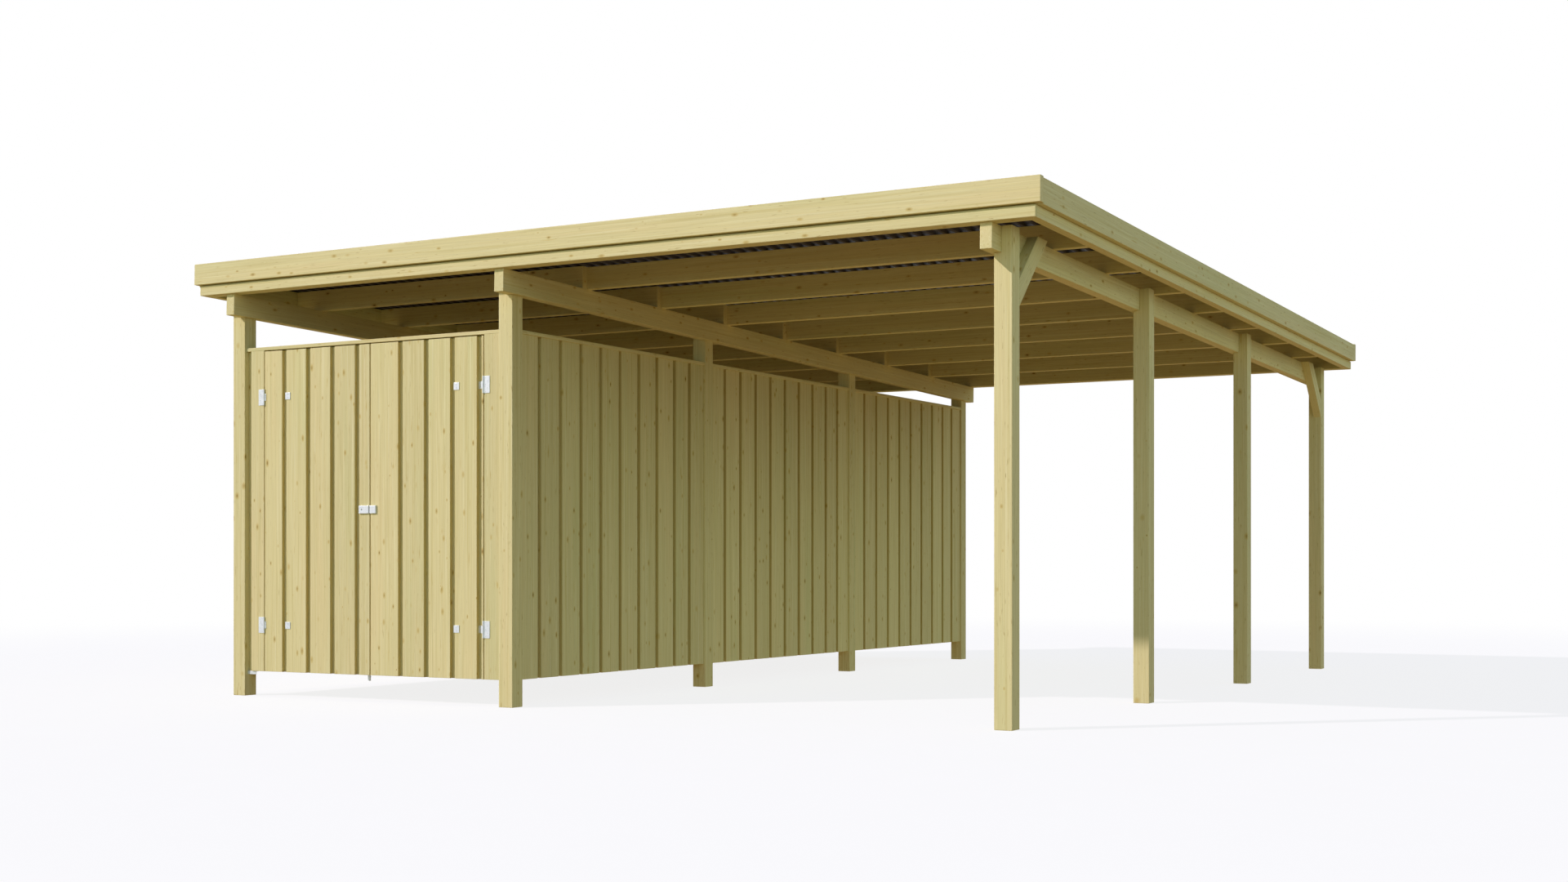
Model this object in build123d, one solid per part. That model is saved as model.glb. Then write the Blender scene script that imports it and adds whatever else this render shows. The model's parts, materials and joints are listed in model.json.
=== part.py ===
# Timber carport with a shed along its left side, in millimetres.
# +X points right for someone facing the doors, +Y runs to the back, +Z is up.
# The origin is on the floor, under the middle of the roof.
import os
from math import ceil, cos, radians, sin, tan

from build123d import *

# Rows of posts: left and middle carry the shed, middle and right stand beside the parked car
post_width = 90
bay_pitch = 1950
bay_count = 3
shed_pitch = 1931
car_pitch = 2844

# Roof: it falls evenly from the door side to the back
roof_fall = 1.2
eaves_height = 2195
end_overhang = 144
left_overhang = 164
right_overhang = 194
purlin_width = 60
purlin_height = 121
post_notch = 36
rafter_width = 45
rafter_height = 125
rafter_count = 7
end_rim_width = 60
side_rim_width = 40
fascia_width = 40
fascia_height = 120
rim_showing = 62
side_fascia_drop = 6
trim_height = 55
end_trim_setback = 18
side_trim_setback = 30
sheet_thickness = 2
rib_pitch = 70
rib_height = 18
rib_crown_share = 0.4
rib_valley_share = 0.3
brace_depth = 90
brace_drop = 245
brace_angle = 45

# Shed walls: boards on boards between the posts, with rails inside and a cap on top
wall_foot = 144
cap_clearance = 51.5
face_setback = 12
board_thickness = 20
board_width = 162
board_gap = 32
end_board_width = 150
rail_width = 36
rail_height = 60
rail_shares = (0.08, 0.5, 0.92)
cap_thickness = 20
cap_setback = 4

# Front wall: two board jambs and a header around a pair of doors
left_jamb_strip = 38
right_jamb_strip = 6
jamb_width = 104
header_clearance = 6
header_height = 60

# Doors: the hinge lines are at the jambs, and the leaves meet in the middle
hinge_gap = 6
meeting_gap = 7
door_top_gap = 6
door_board_width = 150
left_first_board = 134
right_first_board = 198
ledge_width = 25
ledge_height = 110
ledge_inset = 40
ledge_shares = (0.14, 0.86)

# Hinges: a plate on the jamb and a strap that dives behind the first board of the leaf
plate_width = 42
plate_height = 92
metal_thickness = 3
barrel_radius = 4.5
pin_radius = 2.25
pin_clearance = 0.3
knuckle_clearance = 0.5
strap_height = 40
strap_length = 130
tongue_length = 13
tip_width = 37
tip_setback = 5
hinge_shares = (0.145, 0.857)

# Lock and floor bolt on the left leaf, keeper on the right one
lock_height = 45
lock_depth = 10
case_width = 72
keeper_width = 44
keyhole_radius = 4
keyhole_share = 0.3
lock_share = 0.5
bolt_width = 12
bolt_reach = 35
bolt_length = 190
bolt_inset = 27.5
bolt_plate_width = 34
bolt_plate_height = 120

# Bracket that ties the front wall's foot to the left post
bracket_length = 68
bracket_height = 20

# One overrun serves every cut
overrun = 50

# Places worked out from the sizes
roof_width = left_overhang + shed_pitch + car_pitch + post_width + right_overhang
roof_length = 2 * end_overhang + bay_count * bay_pitch + post_width
bay_run = bay_pitch - post_width
left_row = left_overhang - roof_width / 2
middle_row = left_row + shed_pitch
right_row = middle_row + car_pitch
row_starts = {"left": left_row, "middle": middle_row, "right": right_row}
front_row = end_overhang - roof_length / 2
post_fronts = [front_row + number * bay_pitch for number in range(bay_count + 1)]
back_of_posts = post_fronts[-1] + post_width
frame_height = purlin_height + rafter_height
fascia_foot = purlin_height + rim_showing
fascia_middle = fascia_foot + fascia_height / 2
slope_length = roof_length / cos(radians(roof_fall))
roof_tilt = Location(
    (0, -roof_length / 2 - fascia_middle * sin(radians(roof_fall)), eaves_height),
    (-roof_fall, 0, 0),
)
purlin_lefts = {
    "left": left_row + post_width - post_notch,
    "middle": middle_row + post_width - post_notch,
    "right": right_row + post_notch - purlin_width,
}
board_depth = 2 * board_thickness
roof_drop = roof_length * tan(radians(roof_fall))
wall_height = eaves_height - roof_drop - cap_clearance - cap_thickness - wall_foot
wall_top = wall_foot + wall_height
door_height = wall_height - door_top_gap
left_wall_face = left_row + face_setback
middle_wall_face = middle_row + post_width - face_setback
front_wall_face = front_row + face_setback
back_wall_face = back_of_posts - face_setback
shed_left = left_row + post_width
shed_run = shed_pitch - post_width
left_hinge = shed_left + left_jamb_strip + jamb_width
right_hinge = middle_row - right_jamb_strip - jamb_width
meeting_line = (left_hinge + right_hinge) / 2
leaf_width = meeting_line - left_hinge - (hinge_gap + meeting_gap) / 2
left_leaf_start = left_hinge + hinge_gap / 2
right_leaf_start = meeting_line + meeting_gap / 2
hinge_axis = front_wall_face - barrel_radius
leaf_back = front_wall_face + board_depth


def block(x, y, z):
    """A box between two places along each axis."""
    corner = Pos(x[0], y[0], z[0])
    return corner * Box(x[1] - x[0], y[1] - y[0], z[1] - z[0], align=(Align.MIN,) * 3)


def sloping(x, y, z):
    """A box in the roof's own frame: y runs down the slope, z rises from the purlins' underside."""
    return roof_tilt * block(x, y, z)


def separate(solids):
    """Pieces of one kind, kept as separate solids."""
    return Compound(children=list(solids))


def save(name, shape):
    export_step(shape, os.path.join("parts", name + ".step"))


# Roof timbers

roof_left = -roof_width / 2
roof_right = roof_width / 2
rim_left = roof_left + fascia_width
rim_right = roof_right - fascia_width
rim_front = fascia_width
rim_back = slope_length - fascia_width
rafter_left = rim_left + side_rim_width
rafter_right = rim_right - side_rim_width
rim_levels = (purlin_height, frame_height)
trim_left = roof_left + side_trim_setback
trim_right = roof_right - side_trim_setback
trim_front = end_trim_setback
trim_back = slope_length - end_trim_setback
trim_levels = (purlin_height, purlin_height + trim_height)


def make_purlin(row):
    left = purlin_lefts[row]
    return sloping((left, left + purlin_width), (rim_front, rim_back), (0, purlin_height))


def make_rafters():
    """Each rafter is two lengths side by side that lap over the middle purlin."""
    pitch = (rim_back - rim_front - end_rim_width) / (rafter_count + 1)
    laps = [rim_front + pitch * (number + 1) for number in range(rafter_count)]
    lap_left = purlin_lefts["middle"]
    lap_right = lap_left + purlin_width
    lengths = []
    for lap in laps:
        lengths.append(sloping((rafter_left, lap_right), (lap - rafter_width, lap), rim_levels))
        lengths.append(sloping((lap_left, rafter_right), (lap, lap + rafter_width), rim_levels))
    return separate(lengths)


def make_rims():
    """The frame round the rafters' ends, each side with a trim that shows below its fascia board."""
    side_run = (rim_front + end_rim_width, rim_back - end_rim_width)
    beams = {
        "front_rim": sloping((rim_left, rim_right), (rim_front, rim_front + end_rim_width), rim_levels),
        "back_rim": sloping((rim_left, rim_right), (rim_back - end_rim_width, rim_back), rim_levels),
        "left_rim": sloping((rim_left, rafter_left), side_run, rim_levels),
        "right_rim": sloping((rafter_right, rim_right), side_run, rim_levels),
    }
    trims = {
        "front_rim": sloping((trim_left, trim_right), (trim_front, rim_front), trim_levels),
        "back_rim": sloping((trim_left, trim_right), (rim_back, trim_back), trim_levels),
        "left_rim": sloping((trim_left, rim_left), (rim_front, rim_back), trim_levels),
        "right_rim": sloping((rim_right, trim_right), (rim_front, rim_back), trim_levels),
    }
    return {name: beams[name] + trims[name] for name in beams}


def make_fascias():
    """Boards round the roof's edge: the end boards lap over the slightly lower side boards."""
    end_levels = (fascia_foot, fascia_foot + fascia_height)
    side_levels = tuple(level - side_fascia_drop for level in end_levels)
    return {
        "front_fascia": sloping((roof_left, roof_right), (0, rim_front), end_levels),
        "back_fascia": sloping((roof_left, roof_right), (rim_back, slope_length), end_levels),
        "left_fascia": sloping((roof_left, rim_left), (rim_front, rim_back), side_levels),
        "right_fascia": sloping((rim_right, roof_right), (rim_front, rim_back), side_levels),
    }


def make_roof_sheet():
    """A trapezoidal sheet on the rafters, with its ribs running down the slope."""
    rib_count = int((rim_right - rim_left) // rib_pitch)
    margin = (rim_right - rim_left - rib_count * rib_pitch) / 2
    crown = rib_pitch * rib_crown_share
    valley = rib_pitch * rib_valley_share
    flank = (rib_pitch - crown - valley) / 2
    line = [(rim_left, 0)]
    for number in range(rib_count):
        start = rim_left + margin + number * rib_pitch + valley / 2
        crown_start = start + flank
        line += [
            (start, 0),
            (crown_start, rib_height - sheet_thickness),
            (crown_start + crown, rib_height - sheet_thickness),
            (crown_start + crown + flank, 0),
        ]
    line.append((rim_right, 0))
    upper = [(x, level + sheet_thickness) for x, level in reversed(line)]
    section = Plane.XZ * make_face(Polyline(line + upper, close=True))
    sheet = extrude(section, amount=rim_back - rim_front, dir=(0, 1, 0))
    return roof_tilt * Pos(0, rim_front, frame_height) * sheet


# Posts and braces

def make_space_over_posts():
    """All that lies above the purlins' tops, cut from what stands under the rafters."""
    return sloping(
        (roof_left, roof_right),
        (-overrun, slope_length + overrun),
        (purlin_height, frame_height + eaves_height),
    )


def make_post(row, front, purlin, space_over):
    left = row_starts[row]
    tall = block(
        (left, left + post_width),
        (front, front + post_width),
        (0, eaves_height + frame_height),
    )
    return tall - purlin - space_over


def make_brace(post_face, direction, foot_height, space_over):
    """A slanting brace from a right-hand post to the rafters, beside the purlin."""
    rise = tan(radians(brace_angle))
    edge = brace_depth / cos(radians(brace_angle))
    reach = direction * (eaves_height + frame_height - foot_height) / rise
    top = foot_height + abs(reach) * rise
    outline = Polyline(
        (post_face, foot_height),
        (post_face + reach, top),
        (post_face + reach, top + edge),
        (post_face, foot_height + edge),
        close=True,
    )
    section = Plane.YZ * make_face(outline)
    brace = extrude(section, amount=post_width - post_notch, dir=(1, 0, 0))
    return Pos(right_row + post_notch, 0, 0) * brace - space_over


# Board walls

def lay_boards(run, first, width, last):
    """Starts and widths along a run: a first board, whole boards, one cut to fit and any last board."""
    pitch = width + board_gap
    ends = first + board_gap + (last + board_gap if last else 0)
    whole = ceil((run - ends) / pitch) - 1
    widths = [first] + [width] * whole + [run - ends - whole * pitch] + ([last] if last else [])
    boards = []
    start = 0
    for each in widths:
        boards.append((start, each))
        start += each + board_gap
    return boards


def clad(boards, run, height):
    """Boards on boards: x along the run, the outer face at y = 0 and the inner boards behind."""
    corner = (Align.MIN, Align.MIN)
    section = Pos(0, board_thickness) * Rectangle(run, board_thickness, align=corner)
    for start, width in boards:
        section += Pos(start, 0) * Rectangle(width, board_thickness, align=corner)
    return extrude(section, amount=height)


def wall_places():
    """Where each closed bay starts and which way it faces, with its run, for each wall."""
    left = [Location((left_wall_face, front + bay_pitch, wall_foot), (0, 0, -90)) for front in post_fronts[:-1]]
    middle = [
        Location((middle_wall_face, front + post_width, wall_foot), (0, 0, 90)) for front in post_fronts[:-1]
    ]
    back = [Location((middle_row, back_wall_face, wall_foot), (0, 0, 180))]
    return {"left_wall": (left, bay_run), "middle_wall": (middle, bay_run), "back_wall": (back, shed_run)}


def make_wall(places, run):
    boards = lay_boards(run, end_board_width, board_width, end_board_width)
    panel = clad(boards, run, wall_height)
    return separate(place * panel for place in places)


def make_rails(walls):
    rails = []
    for places, run in walls.values():
        for place in places:
            for share in rail_shares:
                foot = wall_height * share - rail_height / 2
                rail = block((0, run), (board_depth, board_depth + rail_width), (foot, foot + rail_height))
                rails.append(place * rail)
    return separate(rails)


def make_cap(run, face):
    return block((0, run), (face, board_depth + rail_width), (wall_height, wall_height + cap_thickness))


def make_caps(walls):
    """A cap on each bay: it stands proud of a wall's boards, and is flush with the doors."""
    proud_face = cap_setback - face_setback
    caps = [place * make_cap(run, proud_face) for places, run in walls.values() for place in places]
    caps.append(Pos(shed_left, front_wall_face, wall_foot) * make_cap(shed_run, 0))
    return separate(caps)


# Front wall

def make_jambs():
    """A jamb at each side of the doors: a board on a wider inner board, and a stud behind."""
    left_strip = left_jamb_strip + jamb_width - hinge_gap / 2
    right_strip = right_jamb_strip + jamb_width - hinge_gap / 2
    board = jamb_width - hinge_gap / 2
    jambs = []
    for start, strip, board_start in (
        (shed_left, left_strip, left_jamb_strip),
        (middle_row - right_strip, right_strip, 0),
    ):
        section = clad([(board_start, board)], strip, wall_height)
        jambs.append(Pos(start, front_wall_face, wall_foot) * section)
    return separate(jambs)


def make_header():
    depth = (leaf_back + header_clearance, front_wall_face + board_depth + rail_width)
    return block((shed_left, middle_row), depth, (wall_top - header_height, wall_top))


# Doors

def make_leaf(start, boards):
    return Pos(start, front_wall_face, wall_foot) * clad(boards, leaf_width, door_height)


def make_ledges(start, slant):
    """Two ledges and a slanting brace between them, on the inside of a leaf."""
    left = start + ledge_inset
    right = start + leaf_width - ledge_inset
    levels = [wall_foot + door_height * share for share in ledge_shares]
    depth = (leaf_back, leaf_back + ledge_width)
    half = ledge_height / 2
    ledges = [block((left, right), depth, (level - half, level + half)) for level in levels]
    low, high = (left, right) if slant > 0 else (right, left)
    outline = Polyline(
        (low, levels[0] + half),
        (low + slant * ledge_height, levels[0] + half),
        (high, levels[1] - half),
        (high - slant * ledge_height, levels[1] - half),
        close=True,
    )
    brace = extrude(Plane.XZ * make_face(outline), amount=ledge_width, dir=(0, 1, 0))
    return ledges[0] + ledges[1] + Pos(0, leaf_back, 0) * brace


hinge_heights = [wall_foot + door_height * share for share in hinge_shares]


def upright(radius, low, high):
    """A round bar along the hinge axis, in a frame whose y = 0 is that axis."""
    return Pos(0, 0, low) * Cylinder(radius, high - low, align=(Align.CENTER, Align.CENTER, Align.MIN))


def make_hinge_plates():
    """Plates on the jambs, each with two knuckles and the pin through them."""
    half = plate_height / 2
    inner = strap_height / 2 + knuckle_clearance
    plate = block((-plate_width, 0), (barrel_radius - metal_thickness, barrel_radius), (-half, half))
    plate -= block((-barrel_radius, 0), (0, 2 * barrel_radius), (-inner, inner))
    hinge = plate + upright(barrel_radius, -half, -inner) + upright(barrel_radius, inner, half)
    hinge += upright(pin_radius, -half, half)
    plates = []
    for height in hinge_heights:
        plates.append(Pos(left_hinge, hinge_axis, height) * hinge)
        plates.append(Pos(right_hinge, hinge_axis, height) * mirror(hinge, about=Plane.YZ))
    return separate(plates)


def make_strap():
    """A strap from its knuckle into the leaf, in the frame of its hinge axis."""
    half = strap_height / 2
    seat = barrel_radius + board_thickness
    front = [
        (0, barrel_radius - metal_thickness),
        (tongue_length, barrel_radius - metal_thickness),
        (tongue_length + metal_thickness, seat - metal_thickness),
        (strap_length, seat - metal_thickness),
    ]
    back = [
        (strap_length, seat),
        (tongue_length, seat),
        (tongue_length - metal_thickness, barrel_radius),
        (0, barrel_radius),
    ]
    section = make_face(Polyline(front + back, close=True))
    strap = Pos(0, 0, -half) * extrude(section, amount=strap_height)
    knuckle = upright(barrel_radius, -half, half)
    bore = upright(pin_radius + pin_clearance, -plate_height, plate_height)
    return strap + knuckle - bore


def make_tip(tip_start):
    """The strap's end, which lies on the face of a board, past the stretch that the leaf hides."""
    half = strap_height / 2
    return block(
        (tip_start, tip_start + tip_width),
        (barrel_radius - metal_thickness, barrel_radius),
        (-half, half),
    )


def make_straps(hinge_line, tip_start, side):
    """Straps and strap ends of one leaf: side is 1 at the left jamb and -1 at the right one."""
    strap = make_strap()
    tip = make_tip(tip_start)
    if side < 0:
        strap = mirror(strap, about=Plane.YZ)
        tip = mirror(tip, about=Plane.YZ)
    places = [Pos(hinge_line, hinge_axis, height) for height in hinge_heights]
    return [place * strap for place in places], [place * tip for place in places]


# Lock, bolt and bracket

def make_lock_box(left, width):
    middle = wall_foot + door_height * lock_share
    half = lock_height / 2
    faces = (front_wall_face - lock_depth, front_wall_face)
    return block((left, left + width), faces, (middle - half, middle + half))


def make_lock_case():
    left = meeting_line - meeting_gap / 2 - case_width
    case = make_lock_box(left, case_width)
    case = fillet(case.edges().group_by(Axis.Y)[0], metal_thickness)
    keyhole = Rot(90, 0, 0) * Cylinder(keyhole_radius, lock_depth)
    place = Pos(left + case_width * keyhole_share, front_wall_face - lock_depth, wall_foot + door_height * lock_share)
    return case - place * keyhole


def make_lock_keeper():
    keeper = make_lock_box(meeting_line + meeting_gap / 2, keeper_width)
    return fillet(keeper.edges().group_by(Axis.Y)[0], metal_thickness)


def make_floor_bolt():
    """A drop bolt on the inside of the left leaf: a rod in a plate."""
    middle = meeting_line - meeting_gap / 2 - bolt_inset - bolt_plate_width / 2
    plate_foot = wall_foot + bolt_length - bolt_reach - bolt_plate_height
    plate_back = leaf_back + metal_thickness
    plate = block(
        (middle - bolt_plate_width / 2, middle + bolt_plate_width / 2),
        (leaf_back, plate_back),
        (plate_foot, plate_foot + bolt_plate_height),
    )
    rod_foot = wall_foot - bolt_reach
    rod = block(
        (middle - bolt_width / 2, middle + bolt_width / 2),
        (plate_back, plate_back + bolt_width),
        (rod_foot, rod_foot + bolt_length),
    )
    return plate + rod


def make_bracket():
    """A corner bracket under the front wall: one leg stands on the post, one shows below the boards."""
    flange = block((0, bracket_length), (0, bracket_height), (-metal_thickness, 0))
    post_leg = block((0, metal_thickness), (0, bracket_height), (-bracket_height, 0))
    front_leg = block((0, bracket_length), (0, metal_thickness), (-bracket_height, 0))
    return Pos(shed_left, front_wall_face + board_thickness / 2, wall_foot) * (flange + post_leg + front_leg)


os.makedirs("parts", exist_ok=True)
space_over = make_space_over_posts()
for row in row_starts:
    purlin = make_purlin(row)
    save(row + "_purlin", purlin)
    for number, front in enumerate(post_fronts, 1):
        save(f"{row}_post_{number}", make_post(row, front, purlin, space_over))

post_fall = (post_fronts[-1] - post_fronts[0]) * tan(radians(roof_fall))
brace_foot = eaves_height - brace_drop
save("front_brace", make_brace(post_fronts[0] + post_width, 1, brace_foot, space_over))
save("back_brace", make_brace(post_fronts[-1], -1, brace_foot - post_fall, space_over))

save("rafters", make_rafters())
save("roof_sheet", make_roof_sheet())
for name, shape in {**make_rims(), **make_fascias()}.items():
    save(name, shape)

walls = wall_places()
for name, (places, run) in walls.items():
    save(name, make_wall(places, run))
save("wall_rails", make_rails(walls))
save("wall_caps", make_caps(walls))
save("door_jambs", make_jambs())
save("door_header", make_header())

left_boards = lay_boards(leaf_width, left_first_board, door_board_width, 0)
right_boards = lay_boards(leaf_width, right_first_board, door_board_width, 0)
left_tip = hinge_gap / 2 + left_boards[1][0] - tip_setback
right_tip = hinge_gap / 2 + leaf_width - right_boards[-2][0] - tip_width + tip_setback
left_straps, left_tips = make_straps(left_hinge, left_tip, 1)
right_straps, right_tips = make_straps(right_hinge, right_tip, -1)
save("left_door", make_leaf(left_leaf_start, left_boards) - left_straps)
save("right_door", make_leaf(right_leaf_start, right_boards) - right_straps)
save("left_door_ledges", make_ledges(left_leaf_start, 1))
save("right_door_ledges", make_ledges(right_leaf_start, -1))
save("hinge_plates", make_hinge_plates())
save("left_door_straps", separate(left_straps + left_tips))
save("right_door_straps", separate(right_straps + right_tips))
save("lock_case", make_lock_case())
save("lock_keeper", make_lock_keeper())
save("floor_bolt", make_floor_bolt())
save("foot_bracket", make_bracket())
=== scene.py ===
import json
import math
import random

import bmesh
import bpy
from mathutils import Matrix, Vector


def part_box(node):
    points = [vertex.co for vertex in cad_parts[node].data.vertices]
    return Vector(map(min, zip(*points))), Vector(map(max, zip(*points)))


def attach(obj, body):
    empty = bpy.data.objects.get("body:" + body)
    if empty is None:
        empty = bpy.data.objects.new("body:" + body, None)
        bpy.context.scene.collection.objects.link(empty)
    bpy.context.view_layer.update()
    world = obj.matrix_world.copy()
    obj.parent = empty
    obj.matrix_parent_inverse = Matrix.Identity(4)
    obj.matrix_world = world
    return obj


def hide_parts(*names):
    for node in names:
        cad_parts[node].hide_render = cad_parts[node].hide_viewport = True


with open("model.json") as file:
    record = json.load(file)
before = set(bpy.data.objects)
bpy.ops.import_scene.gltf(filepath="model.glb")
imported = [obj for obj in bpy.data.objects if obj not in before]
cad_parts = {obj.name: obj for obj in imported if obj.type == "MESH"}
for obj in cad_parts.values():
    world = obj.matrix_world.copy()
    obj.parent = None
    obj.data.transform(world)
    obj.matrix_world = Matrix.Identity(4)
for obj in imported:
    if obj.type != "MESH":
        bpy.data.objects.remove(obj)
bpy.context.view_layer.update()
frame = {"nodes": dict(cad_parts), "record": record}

# Camera, in metres and degrees, its lens in millimetres: level, with the horizon below the middle
camera_place = (5.7365, -11.033, 0.763)
camera_yaw = 29.236
camera_lens = 43.53
camera_sensor = 36.0
camera_rise_share = 0.0784
camera_reach = 200.0

# Light: a low sun from the front left, an even sky, and a floor that gives back a warm, even light
sun_travel = (1.0, 1.0, -0.957)
sun_strength = 2.89
sun_colour = (1.0, 0.878, 0.99)
sun_spread = 1.2
horizon_colour = (0.76, 1.02, 1.00)
zenith_colour = (0.05, 0.06, 0.30)
sky_turn = (0.15, 0.75)
floor_half_width = 60.0
floor_colour = (1.0, 0.985, 0.93)
floor_shade_colour = (0.52, 0.35, 0.13)
floor_light_colour = (0.313, 0.206, 0.087)
floor_fade = (7.0, 16.0)
floor_glow_share = 0.84
floor_speck_noise = (3.0, 4.0)
floor_speck_span = (0.3, 0.7, 0.0, 0.03)
plain_white = (1.0, 1.0, 1.0)

# Shapes of timber and metal, in metres and radians
timber_edge = 0.003
board_edge = 0.0022
metal_edge = 0.0007
edge_segments = 2
edge_profile_share = 0.6
inner_overlap = 0.034
weld_distance = 0.00002
flat_angle = 0.01
level_tolerance = 0.0002

# Ways, for someone who faces the doors
leftward = Vector((-1, 0, 0))
rightward = Vector((1, 0, 0))
forward = Vector((0, -1, 0))
backward = Vector((0, 1, 0))
upward = Vector((0, 0, 1))

body_of = {
    node: body
    for body, nodes in frame["record"]["behaviour"]["bodies"].items()
    for node in nodes
}


# Shader helpers

class Shader:
    """The nodes of a material or of the sky, made one call at a time."""

    def __init__(self, owner, output="OutputMaterial"):
        self.owner = owner
        owner.use_nodes = True
        self.tree = owner.node_tree
        self.tree.nodes.clear()
        self.output = self.add(output)

    def add(self, kind, settings=None, **inputs):
        node = self.tree.nodes.new("ShaderNode" + kind)
        for key, value in (settings or {}).items():
            setattr(node, key, value)
        for key, value in inputs.items():
            self.feed(node.inputs[key.replace("_", " ")], value)
        return node

    def feed(self, socket, value):
        if isinstance(value, bpy.types.NodeSocket):
            self.tree.links.new(value, socket)
        else:
            socket.default_value = value

    def attribute(self, name, output="Fac"):
        return self.add("Attribute", {"attribute_name": name}).outputs[output]

    def math(self, operation, *values, clamp=False):
        node = self.add("Math", {"operation": operation, "use_clamp": clamp})
        for socket, value in zip(node.inputs, values):
            self.feed(socket, value)
        return node.outputs[0]

    def noise(self, vector, scale, detail, roughness=0.5):
        node = self.add("TexNoise", Vector=vector, Scale=scale, Detail=detail, Roughness=roughness)
        return node.outputs[0]

    def drawn_noise(self, vector, stretch, shift, detail, roughness):
        """Noise drawn out unequally along the three ways of a vector."""
        place = self.add("Mapping", Vector=vector, Scale=stretch, Location=shift)
        return self.noise(place.outputs[0], 1.0, detail, roughness)

    def blend(self, share, first, second, kind="MIX"):
        node = self.add("Mix", {"data_type": "RGBA", "blend_type": kind})
        colours = [socket for socket in node.inputs if socket.type == "RGBA"]
        self.feed(node.inputs[0], share)
        self.feed(colours[0], first)
        self.feed(colours[1], second)
        return next(socket for socket in node.outputs if socket.type == "RGBA")

    def span(self, value, low, high, to_low=0.0, to_high=1.0, kind="SMOOTHSTEP"):
        node = self.add("MapRange", {"interpolation_type": kind})
        for key, number in (("From Min", low), ("From Max", high), ("To Min", to_low), ("To Max", to_high)):
            node.inputs[key].default_value = number
        self.feed(node.inputs["Value"], value)
        return node.outputs["Result"]

    def mix(self, share, first, second):
        node = self.add("MixShader", Fac=share)
        self.feed(node.inputs[1], first.outputs[0])
        self.feed(node.inputs[2], second.outputs[0])
        return node

    def seen(self):
        """1 on rays that show the background: straight, in gloss or through glass."""
        path = self.add("LightPath").outputs
        straight_or_gloss = self.math("ADD", path["Is Camera Ray"], path["Is Glossy Ray"], clamp=True)
        return self.math("ADD", straight_or_gloss, path["Is Transmission Ray"], clamp=True)

    def bump(self, height, strength, distance):
        return self.add("Bump", Height=height, Strength=strength, Distance=distance).outputs[0]

    def surface(self, shader):
        self.tree.links.new(shader.outputs[0], self.output.inputs["Surface"])
        return self.owner


def opaque(colour):
    return (*colour, 1.0)


# Timber: rings round a pith that lies beside each board, knots, fibres, a tone for each board, and painted
# shade in the gaps between boards.
# A drawn noise is its stretch across, through and along the grain, its shift, detail and roughness.
# An even noise is its scale and its detail.
# A span is the low and high value that it reads, and what it gives for them.

ring_spacing = 0.0052
ring_drift = 0.03
ring_rise_span = (0.15, 0.88)
ring_drop_span = (0.90, 1.0)
ring_share_span = (0.25, 0.75, 0.15, 0.45)
ring_relief_share = -0.35
ring_rough_share = -0.08

knot_cell_size = (0.052, 0.08, 0.11)
knot_dice_span = (0.1, 1.0)
knot_size_shares = (0.04, 0.15)
knot_bow_span = (0.0, 0.26, 0.004, 0.0)
knot_halo_span = (0.70, 1.9, 1.0, 0.0)
knot_core_span = (0.25, 1.0, 1.0, 0.0)
knot_dark_span = (0.0, 1.0, 0.30, 0.90)
knot_halo_share = 0.65
knot_relief_share = 0.5

drift_noise = ((4.0, 4.0, 0.35), (0.0, 0.0, 0.0), 2.0, 0.5)
fibre_noise = ((310.0, 310.0, 4.0), (0.0, 0.0, 0.0), 3.0, 0.6)
streak_noise = ((65.0, 65.0, 0.9), (0.0, 0.0, 0.0), 3.0, 0.6)
pale_noise = ((90.0, 90.0, 1.3), (3.0, 5.0, 7.0), 2.0, 0.5)
resin_noise = ((110.0, 110.0, 6.5), (9.0, 2.0, 4.0), 3.0, 0.5)
fleck_noise = ((170.0, 170.0, 15.0), (6.0, 8.0, 1.0), 2.0, 0.5)
cloud_noise = ((7.0, 7.0, 0.55), (0.0, 0.0, 0.0), 2.0, 0.5)

green_span = (0.50, 0.80, 0.0, 0.7)
warm_span = (0.48, 0.22, 0.0, 0.7)
cream_span = (0.50, 0.75, 0.0, 0.55)
streak_span = (0.50, 0.76, 0.0, 0.80)
resin_span = (0.655, 0.77, 0.0, 0.65)
resin_tone_share = -0.035
fleck_span = (0.64, 0.78, 0.0, 0.75)
groove_span = (0.3, 0.7, -0.05, 0.05)
end_groove_span = (0.0, 1.0, 1.0, 0.3)
end_relief_span = (0.0, 1.0, 1.0, 0.25)
fibre_relief_share = 0.6
fibre_rough_span = (0.2, 0.8, 0.70, 0.86)
tone_share = 0.05
timber_bump = (0.22, 0.0012)
timber_gloss = 0.10

early_wood = (0.720, 0.653, 0.320)
late_wood = (0.610, 0.533, 0.215)
cream_wood = (0.800, 0.752, 0.420)
green_wood = (0.640, 0.627, 0.290)
warm_wood = (0.735, 0.627, 0.300)
resin_wood = (0.545, 0.405, 0.105)
fleck_wood = (0.360, 0.250, 0.062)
# painted shade: the warm tint that darkens boards in the gaps between them, where shade falls
painted_gap_shade_tint = (0.86, 0.80, 0.66)
knot_halo = (0.555, 0.408, 0.105)
knot_core = (0.225, 0.136, 0.030)


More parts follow.
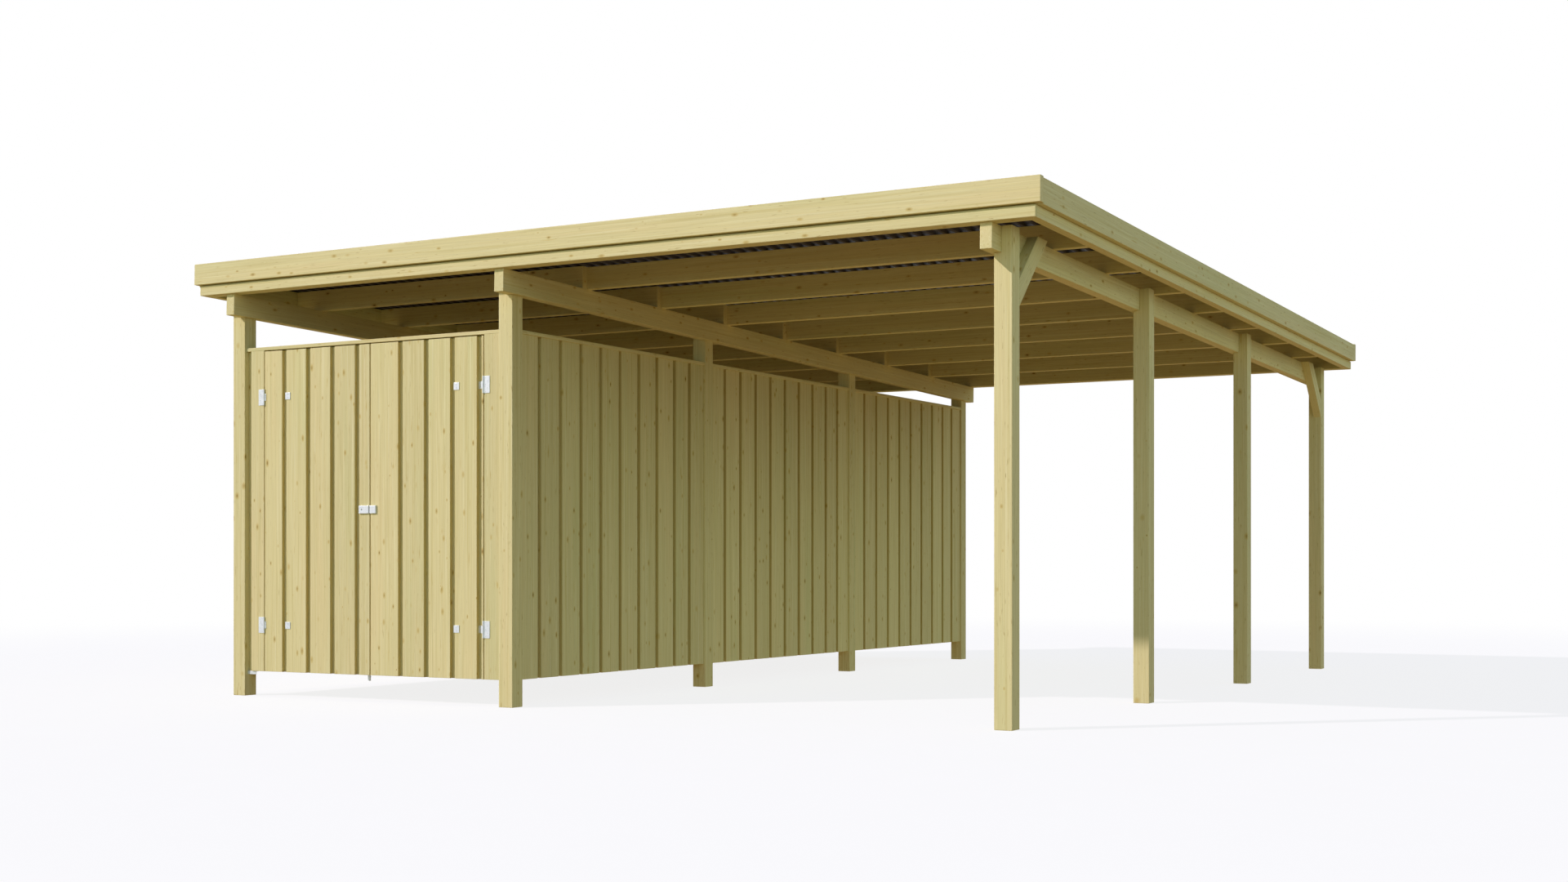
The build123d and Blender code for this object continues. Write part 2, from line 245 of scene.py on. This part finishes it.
def add_knots(shader, grain):
    """Knots in cells of the grain: how far they bow the rings, and the shares of their halo and core."""
    cell_scale = tuple(1 / size for size in knot_cell_size)
    cells = shader.add("Mapping", Vector=grain, Scale=cell_scale).outputs[0]
    knots = shader.add("TexVoronoi", {"feature": "F1"}, Vector=cells, Scale=1.0)
    dice = shader.add("SeparateColor", Color=knots.outputs["Color"])
    distance = knots.outputs["Distance"]
    size = shader.span(dice.outputs[0], *knot_dice_span, *knot_size_shares, kind="LINEAR")
    reach = shader.math("DIVIDE", distance, size)
    bow = shader.span(distance, *knot_bow_span)
    halo = shader.math("MULTIPLY", shader.span(reach, *knot_halo_span), knot_halo_share)
    dark = shader.span(dice.outputs[1], *knot_dark_span, kind="LINEAR")
    core = shader.math("MULTIPLY", shader.span(reach, *knot_core_span), dark)
    return bow, halo, core


def add_rings(shader, grain, bow):
    """Year rings by the distance from the pith: a slow rise to late wood and a quick drop."""
    place = shader.add("SeparateXYZ", Vector=grain)
    across = shader.math("MULTIPLY", place.outputs[0], place.outputs[0])
    through = shader.math("MULTIPLY", place.outputs[1], place.outputs[1])
    radius = shader.math("SQRT", shader.math("ADD", across, through))
    drift = shader.drawn_noise(grain, *drift_noise)
    radius = shader.math("ADD", radius, shader.math("MULTIPLY", drift, ring_drift))
    radius = shader.math("ADD", radius, bow)
    phase = shader.math("FRACT", shader.math("DIVIDE", radius, ring_spacing))
    rise = shader.span(phase, *ring_rise_span)
    drop = shader.span(phase, *ring_drop_span)
    return shader.math("SUBTRACT", rise, drop)


def make_timber():
    shader = Shader(bpy.data.materials.new("treated_timber"))
    grain = shader.attribute("grain", "Vector")
    tone = shader.attribute("tone")
    end = shader.attribute("end")
    bow, halo, core = add_knots(shader, grain)
    rings = add_rings(shader, grain, bow)
    fibres = shader.drawn_noise(grain, *fibre_noise)
    streaks = shader.drawn_noise(grain, *streak_noise)
    pale_streaks = shader.drawn_noise(grain, *pale_noise)
    resin = shader.drawn_noise(grain, *resin_noise)
    flecks = shader.drawn_noise(grain, *fleck_noise)
    clouds = shader.drawn_noise(grain, *cloud_noise)

    dashes = shader.math("MULTIPLY_ADD", tone, resin_tone_share, resin)
    specks = shader.math("MULTIPLY", shader.span(flecks, *fleck_span), shader.attribute("coarse"))
    layers = (
        (shader.math("MULTIPLY", rings, shader.span(clouds, *ring_share_span)), late_wood),
        (shader.span(clouds, *green_span), green_wood),
        (shader.span(clouds, *warm_span), warm_wood),
        (shader.span(pale_streaks, *cream_span), cream_wood),
        (shader.span(streaks, *streak_span), late_wood),
        (shader.span(dashes, *resin_span), resin_wood),
        (specks, fleck_wood),
    )
    colour = opaque(early_wood)
    for share, wood in layers:
        colour = shader.blend(share, colour, opaque(wood))
    grooves = shader.math(
        "MULTIPLY", shader.span(fibres, *groove_span), shader.span(end, *end_groove_span),
    )
    shade = shader.math("ADD", shader.math("MULTIPLY_ADD", tone, tone_share, 1.0), grooves)
    shades = shader.add("CombineColor", Red=shade, Green=shade, Blue=shade).outputs[0]
    colour = shader.blend(1.0, colour, shades, "MULTIPLY")
    # painted shade: the sides of boards and their faces in the gaps between boards are darkened by the gap
    # tint
    colour = shader.blend(shader.attribute("painted_gap_shade"), colour, opaque(painted_gap_shade_tint), "MULTIPLY")
    colour = shader.blend(halo, colour, opaque(knot_halo))
    colour = shader.blend(core, colour, opaque(knot_core))

    relief = shader.math("MULTIPLY", fibres, fibre_relief_share)
    relief = shader.math("MULTIPLY_ADD", rings, ring_relief_share, relief)
    relief = shader.math("MULTIPLY", relief, shader.span(end, *end_relief_span))
    relief = shader.math("SUBTRACT", relief, shader.math("MULTIPLY", core, knot_relief_share))
    rough = shader.math("MULTIPLY_ADD", rings, ring_rough_share, shader.span(fibres, *fibre_rough_span))
    return shader.surface(shader.add(
        "BsdfPrincipled",
        Base_Color=colour,
        Roughness=rough,
        Normal=shader.bump(relief, *timber_bump),
        Specular_IOR_Level=timber_gloss,
    ))


# Roof sheet and door hardware

sheet_colour = (0.030, 0.026, 0.031)
sheet_dust_colour = (0.075, 0.068, 0.072)
sheet_dust_noise = ((9.0, 0.8, 9.0), (0.0, 0.0, 0.0), 4.0, 0.6)
sheet_dust_span = (0.45, 0.8, 0.0, 0.55)
sheet_rough_span = (0.3, 0.8, 0.38, 0.60)
sheet_speck_noise = (420.0, 2.0)
sheet_bump = (0.12, 0.0004)
sheet_gloss = 0.42
zinc_colour = (0.76, 0.818, 0.792)
zinc_shade_colour = (0.589, 0.641, 0.632)
zinc_flake_scale = 260.0
zinc_flake_share = 0.35
zinc_haze_noise = (60.0, 3.0)
zinc_haze_span = (0.35, 0.75, 0.0, 0.4)
zinc_rough_shares = (0.14, 0.34)
zinc_bump = (0.08, 0.0004)
zinc_metal_share = 0.35
# painted shade: the dark colour of the raised cross on each screw head, standing for the shade in its slot
painted_slot_shade_colour = (0.10, 0.10, 0.105)
slot_haze_noise = (900.0, 2.0)
slot_rough_span = (0.2, 0.8, 0.45, 0.7)
slot_metal_share = 0.3


def make_sheet_finish():
    shader = Shader(bpy.data.materials.new("dark_roof_sheet"))
    place = shader.add("TexCoord").outputs["Object"]
    dust = shader.drawn_noise(place, *sheet_dust_noise)
    speck = shader.noise(place, *sheet_speck_noise)
    dust_share = shader.span(dust, *sheet_dust_span)
    return shader.surface(shader.add(
        "BsdfPrincipled",
        Base_Color=shader.blend(dust_share, opaque(sheet_colour), opaque(sheet_dust_colour)),
        Roughness=shader.span(dust, *sheet_rough_span),
        Normal=shader.bump(speck, *sheet_bump),
        Specular_IOR_Level=sheet_gloss,
    ))


def make_zinc():
    shader = Shader(bpy.data.materials.new("zinc_plated_steel"))
    place = shader.add("TexCoord").outputs["Object"]
    flakes = shader.add("TexVoronoi", {"feature": "F1"}, Vector=place, Scale=zinc_flake_scale)
    dice = shader.add("SeparateColor", Color=flakes.outputs["Color"])
    haze = shader.noise(place, *zinc_haze_noise)
    hazy = shader.span(haze, *zinc_haze_span)
    shade_share = shader.math("MULTIPLY_ADD", dice.outputs[0], zinc_flake_share, hazy)
    return shader.surface(shader.add(
        "BsdfPrincipled",
        Base_Color=shader.blend(shade_share, opaque(zinc_colour), opaque(zinc_shade_colour)),
        Roughness=shader.math("MULTIPLY_ADD", dice.outputs[1], *zinc_rough_shares),
        Normal=shader.bump(haze, *zinc_bump),
        Metallic=zinc_metal_share,
    ))


# painted shade: a dark metal for the cross on screw heads, where a real slot is dark only from shade
def make_painted_slot_shade():
    shader = Shader(bpy.data.materials.new("painted_slot_shade_metal"))
    place = shader.add("TexCoord").outputs["Object"]
    haze = shader.noise(place, *slot_haze_noise)
    return shader.surface(shader.add(
        "BsdfPrincipled",
        Base_Color=shader.blend(haze, opaque(painted_slot_shade_colour), opaque(zinc_shade_colour)),
        Roughness=shader.span(haze, *slot_rough_span),
        Metallic=slot_metal_share,
    ))


timber = make_timber()
sheet_finish = make_sheet_finish()
zinc = make_zinc()
painted_slot_shade = make_painted_slot_shade()


# Meshes gathered board by board: where the pith lies, and how boards differ

pith_across = 0.05
pith_depth = (0.03, 0.11)
offset_along = 60.0
facing_share = 0.7
# share of the painted gap shade on faces that look toward the other layer of boards
gap_facing_painted_shade_share = 0.3
board_fleck_share = 0.4


class Gather:
    """Collects boards and fittings into one mesh, with each board's own grain and tone, and the painted
    shade of its faces in the gaps between boards.
    """

    def __init__(self, name, fleck_share=1.0):
        self.name = name
        self.fleck_share = fleck_share
        self.dice = random.Random(name)
        self.points = []
        self.faces = []
        self.grain = []
        self.tones = []
        self.ends = []
        self.painted_gap_shades = []
        self.finishes = []

    def add(self, form, place, edge, finish=0, painted_gap_shade=0):
        """Adds a closed form given in its own frame, z along the grain, after easing its edges.

        A board of a double layer gives the way, along y, to the other layer, which sets where painted shade
        darkens its faces in the gap between boards.
        """
        form.normal_update()
        if edge > 0:
            bmesh.ops.bevel(
                form, geom=form.edges[:], offset=edge, segments=edge_segments, affect="EDGES",
                profile=edge_profile_share, clamp_overlap=True,
            )
            form.normal_update()
        pith = Vector((
            self.dice.uniform(-pith_across, pith_across),
            self.dice.choice((-1, 1)) * self.dice.uniform(*pith_depth),
            self.dice.uniform(0, offset_along),
        ))
        tone = self.dice.uniform(-1, 1)
        first = len(self.points)
        form.verts.index_update()
        for point in form.verts:
            self.points.append(place @ point.co)
            self.grain.append(point.co + pith)
            self.tones.append(tone)
        for face in form.faces:
            self.faces.append([first + corner.index for corner in face.verts])
            self.ends.append(1.0 if abs(face.normal.z) > facing_share else 0.0)
            self.painted_gap_shades.append(self.painted_gap_shade_of(face.normal, painted_gap_shade))
            self.finishes.append(finish)
        form.free()

    def painted_gap_shade_of(self, normal, painted_gap_shade):
        """How much painted shade a face takes in the gap between boards: its sides take it all, and what
        faces the other layer takes less.
        """
        if painted_gap_shade and abs(normal.x) > facing_share:
            return 1.0
        return gap_facing_painted_shade_share if normal.y * painted_gap_shade > facing_share else 0.0

    def piece(self, materials, node):
        """Makes the mesh, in place of a CAD node and on that node's body."""
        mesh = bpy.data.meshes.new(self.name)
        mesh.from_pydata(self.points, [], self.faces)
        grain = mesh.attributes.new("grain", "FLOAT_VECTOR", "POINT")
        grain.data.foreach_set("vector", [number for point in self.grain for number in point])
        coarse = [self.fleck_share] * len(self.faces)
        for name, domain, values in (
            ("tone", "POINT", self.tones),
            ("end", "FACE", self.ends),
            # the painted shade of each face in the gaps between boards
            ("painted_gap_shade", "FACE", self.painted_gap_shades),
            ("coarse", "FACE", coarse),
        ):
            mesh.attributes.new(name, "FLOAT", domain).data.foreach_set("value", values)
        for material in materials:
            mesh.materials.append(material)
        mesh.polygons.foreach_set("material_index", self.finishes)
        mesh.update()
        made = bpy.data.objects.new(self.name, mesh)
        bpy.context.scene.collection.objects.link(made)
        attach(made, body_of[node])
        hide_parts(node)


def box_form(low, high):
    """A closed box in its own frame."""
    form = bmesh.new()
    bmesh.ops.create_cube(form, size=1.0)
    for point in form.verts:
        point.co = Vector(high[axis] if point.co[axis] > 0 else low[axis] for axis in range(3))
    return form


def linked_points(start, seen):
    """All points that edges join to a point, which are then marked as seen."""
    group = [start]
    seen.add(start.index)
    for point in group:
        for edge in point.link_edges:
            other = edge.other_vert(point)
            if other.index not in seen:
                seen.add(other.index)
                group.append(other)
    return group


def solids_of(node):
    """The separate solids of a CAD node, each as a form with flat faces whole."""
    whole = bmesh.new()
    whole.from_mesh(frame["nodes"][node].data)
    bmesh.ops.remove_doubles(whole, verts=whole.verts[:], dist=weld_distance)
    bmesh.ops.dissolve_limit(
        whole, angle_limit=flat_angle, verts=whole.verts[:], edges=whole.edges[:],
        use_dissolve_boundaries=False,
    )
    whole.verts.index_update()
    found = []
    seen = set()
    for start in whole.verts:
        if start.index in seen:
            continue
        solid = bmesh.new()
        copies = {point.index: solid.verts.new(point.co) for point in linked_points(start, seen)}
        for face in whole.faces:
            if face.verts[0].index in copies:
                solid.faces.new([copies[corner.index] for corner in face.verts])
        solid.normal_update()
        found.append(solid)
    whole.free()
    return found


# Posts, beams and boards on edge: CAD solids with eased edges and their own grain

beams = (
    "left_purlin", "middle_purlin", "right_purlin", "rafters",
    "front_rim", "back_rim", "left_rim", "right_rim",
    "front_fascia", "back_fascia", "left_fascia", "right_fascia",
    "front_brace", "back_brace", "wall_rails", "wall_caps",
    "door_header", "left_door_ledges", "right_door_ledges",
)


def grain_place(solid):
    """The frame of a timber: z along its longest edge, y across its largest face."""
    longest = max(solid.edges, key=lambda edge: edge.calc_length())
    along = (longest.verts[1].co - longest.verts[0].co).normalized()
    broad = max(
        (face for face in solid.faces if abs(face.normal.dot(along)) < flat_angle),
        key=lambda face: face.calc_area(),
    )
    through = (broad.normal - along * broad.normal.dot(along)).normalized()
    across = through.cross(along)
    middle = sum((point.co for point in solid.verts), Vector()) / len(solid.verts)
    turn = Matrix((across, through, along)).transposed().to_4x4()
    return Matrix.Translation(middle) @ turn


def dress_timber(node):
    gather = Gather(node + "_timber")
    for solid in solids_of(node):
        place = grain_place(solid)
        solid.transform(place.inverted())
        gather.add(solid, place, timber_edge)
    gather.piece([timber], node)


for row in ("left", "middle", "right"):
    for number in range(1, 5):
        dress_timber(f"{row}_post_{number}")
for beam in beams:
    dress_timber(beam)


# Board walls and doors: the boards follow the outline that each CAD panel has at its top

outward_of = {
    "left_wall": leftward,
    "middle_wall": rightward,
    "back_wall": backward,
    "door_jambs": forward,
    "left_door": forward,
    "right_door": forward,
}


def distinct(values):
    """Sorted values with near repeats left out."""
    kept = []
    for value in sorted(values):
        if not kept or value - kept[-1] > level_tolerance:
            kept.append(value)
    return kept


def board_layers(solid, outward, run):
    """Spans of the outer and the inner boards along the run, and the levels through the panel."""
    top = max(point.co.z for point in solid.verts)
    rim = [point.co for point in solid.verts if point.co.z > top - level_tolerance]
    levels = distinct(point.dot(outward) for point in rim)
    ends = distinct(point.dot(run) for point in rim)
    outer = distinct(point.dot(run) for point in rim if point.dot(outward) > levels[-1] - level_tolerance)
    boards = list(zip(outer[::2], outer[1::2]))
    bare = list(zip([ends[0]] + outer[1::2], outer[::2] + [ends[-1]]))
    inner = [
        (max(low - inner_overlap, ends[0]), min(high + inner_overlap, ends[-1]))
        for low, high in bare if high - low > level_tolerance
    ]
    return boards, inner, levels


def clad_panel(node):
    """Single boards on boards in place of a CAD panel."""
    gather = Gather(node + "_boards", board_fleck_share)
    outward = outward_of[node]
    run = outward.cross(upward)
    turn = Matrix((run, outward, upward)).transposed().to_4x4()
    for solid in solids_of(node):
        outer, inner, levels = board_layers(solid, outward, run)
        low = min(point.co.z for point in solid.verts)
        high = max(point.co.z for point in solid.verts)
        # the last value of each layer is the way to the other layer, which sets the painted shade in the
        # gaps
        layers = ((outer, levels[1], levels[2], -1), (inner, levels[0], levels[1], 1))
        for spans, back, front, painted_gap_shade in layers:
            for start, end in spans:
                middle = run * ((start + end) / 2) + outward * ((back + front) / 2)
                place = Matrix.Translation(middle + upward * ((low + high) / 2)) @ turn
                half = Vector((end - start, front - back, high - low)) / 2
                gather.add(box_form(-half, half), place, board_edge, painted_gap_shade=painted_gap_shade)
        solid.free()
    gather.piece([timber], node)


for panel in outward_of:
    clad_panel(panel)


# Door hardware: the fittings, and screws with a dark raised cross on each head as painted shade of its
# slot, in metres and shares of a face

screw_radius = 0.0036
screw_rise = 0.0007
screw_sides = 14
screw_edge = 0.0003
cross_length = 0.0042
cross_width = 0.0009
cross_rise = 0.0001
plate_screw_shares = ((0.28, 0.10), (0.62, 0.30), (0.28, 0.50), (0.62, 0.70), (0.28, 0.90))
tip_screw_shares = ((0.5, 0.25), (0.5, 0.75))
bolt_screw_shares = ((0.2, 0.12), (0.8, 0.12), (0.2, 0.88), (0.8, 0.88))
tip_limit = 0.05
door_middle = (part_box("left_door")[1][0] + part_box("right_door")[0][0]) / 2


def flat_face(solid, outward):
    """The largest face that looks outward."""
    facing = [face for face in solid.faces if face.normal.dot(outward) > 1 - flat_angle]
    return max(facing, key=lambda face: face.calc_area())


def disc_form(radius, rise):
    form = bmesh.new()
    bmesh.ops.create_cone(
        form, cap_ends=True, segments=screw_sides, radius1=radius, radius2=radius, depth=rise,
    )
    bmesh.ops.translate(form, verts=form.verts[:], vec=(0, 0, rise / 2))
    return form


def add_screw(gather, point, outward):
    """A screw head on a face, turned by chance, with a dark raised cross that paints the shade of its slot.
    """
    turn = Matrix.Rotation(gather.dice.uniform(0, math.pi), 4, "Z")
    place = Matrix.Translation(point) @ outward.to_track_quat("Z", "Y").to_matrix().to_4x4() @ turn
    gather.add(disc_form(screw_radius, screw_rise), place, screw_edge)
    # the dark cross is painted shade of the screw's slot
    for length, width in ((cross_length, cross_width), (cross_width, cross_length)):
        half = Vector((length, width, 0)) / 2
        top = Vector((0, 0, screw_rise + cross_rise))
        gather.add(box_form(-half, half + top), place, 0, finish=1)


def add_screws(gather, solid, outward, shares, mirrored):
    """Screws spread over a solid's flat face by shares of its width and height."""
    corners = [corner.co for corner in flat_face(solid, outward).verts]
    side = outward.cross(upward)
    low = min(point.dot(side) for point in corners)
    high = max(point.dot(side) for point in corners)
    foot = min(point.z for point in corners)
    head = max(point.z for point in corners)
    for across, up in shares:
        share = 1 - across if mirrored else across
        place = side * (low + (high - low) * share) + upward * (foot + (head - foot) * up)
        add_screw(gather, place + outward * corners[0].dot(outward), outward)


def dress_metal(node, outward=None, shares=(), tips_only=False):
    """A metal node with eased edges, and screws on the faces that look outward."""
    gather = Gather(node + "_metal")
    for solid in solids_of(node):
        left = min(point.co.x for point in solid.verts)
        right = max(point.co.x for point in solid.verts)
        if outward and (right - left < tip_limit or not tips_only):
            add_screws(gather, solid, outward, shares, (left + right) / 2 > door_middle)
        gather.add(solid, Matrix.Identity(4), metal_edge)
    gather.piece([zinc, painted_slot_shade], node)


dress_metal("hinge_plates", forward, plate_screw_shares)
for straps in ("left_door_straps", "right_door_straps"):
    dress_metal(straps, forward, tip_screw_shares, tips_only=True)
dress_metal("floor_bolt", backward, bolt_screw_shares)
for fitting in ("lock_case", "lock_keeper", "foot_bracket"):
    dress_metal(fitting)

sheet = frame["nodes"]["roof_sheet"].data
sheet.materials.clear()
sheet.materials.append(sheet_finish)


# Floor, sky, sun and camera

def make_floor():
    """A pale floor that fades to white with distance and gives a warm, even light back to the part."""
    shader = Shader(bpy.data.materials.new("pale_floor"))
    place = shader.add("TexCoord").outputs["Object"]
    specks = shader.span(shader.noise(place, *floor_speck_noise), *floor_speck_span)
    pale = shader.blend(specks, opaque(floor_colour), opaque(floor_shade_colour))
    away = shader.add("VectorMath", {"operation": "LENGTH"})
    shader.feed(away.inputs[0], place)
    fade = shader.span(away.outputs["Value"], *floor_fade, floor_glow_share, 1.0)
    lit = shader.add("BsdfDiffuse", Color=pale)
    glow = shader.add("Emission", Color=opaque(plain_white), Strength=1.0)
    light = shader.add("Emission", Color=opaque(floor_light_colour), Strength=1.0)
    half = floor_half_width
    corners = [(-half, -half, 0), (half, -half, 0), (half, half, 0), (-half, half, 0)]
    mesh = bpy.data.meshes.new("floor")
    mesh.from_pydata(corners, [], [(0, 1, 2, 3)])
    mesh.materials.append(shader.surface(shader.mix(shader.seen(), light, shader.mix(fade, lit, glow))))
    floor = bpy.data.objects.new("floor", mesh)
    bpy.context.scene.collection.objects.link(floor)


def make_sky():
    """A light that is pale at the horizon and dim overhead; the camera sees plain white."""
    shader = Shader(bpy.data.worlds.new("soft_sky"), "OutputWorld")
    way = shader.add("TexCoord").outputs["Generated"]
    height = shader.span(shader.add("SeparateXYZ", Vector=way).outputs["Z"], *sky_turn)
    horizon = shader.add("Background", Color=opaque(horizon_colour))
    zenith = shader.add("Background", Color=opaque(zenith_colour))
    white = shader.add("Background", Color=opaque(plain_white))
    light = shader.mix(height, horizon, zenith)
    bpy.context.scene.world = shader.surface(shader.mix(shader.seen(), light, white))


def make_sun():
    lamp = bpy.data.lights.new("sun", "SUN")
    lamp.energy = sun_strength
    lamp.color = sun_colour
    lamp.angle = math.radians(sun_spread)
    sun = bpy.data.objects.new("sun", lamp)
    sun.rotation_euler = Vector(sun_travel).to_track_quat("-Z", "Y").to_euler()
    bpy.context.scene.collection.objects.link(sun)


def make_camera():
    lens = bpy.data.cameras.new("camera")
    lens.sensor_width = camera_sensor
    lens.lens = camera_lens
    lens.shift_y = camera_rise_share
    lens.clip_end = camera_reach
    camera = bpy.data.objects.new("camera", lens)
    camera.location = camera_place
    camera.rotation_euler = (math.radians(90), 0, math.radians(camera_yaw))
    bpy.context.scene.collection.objects.link(camera)
    bpy.context.scene.camera = camera


make_floor()
make_sky()
make_sun()
make_camera()
bpy.context.scene.view_settings.view_transform = "Standard"
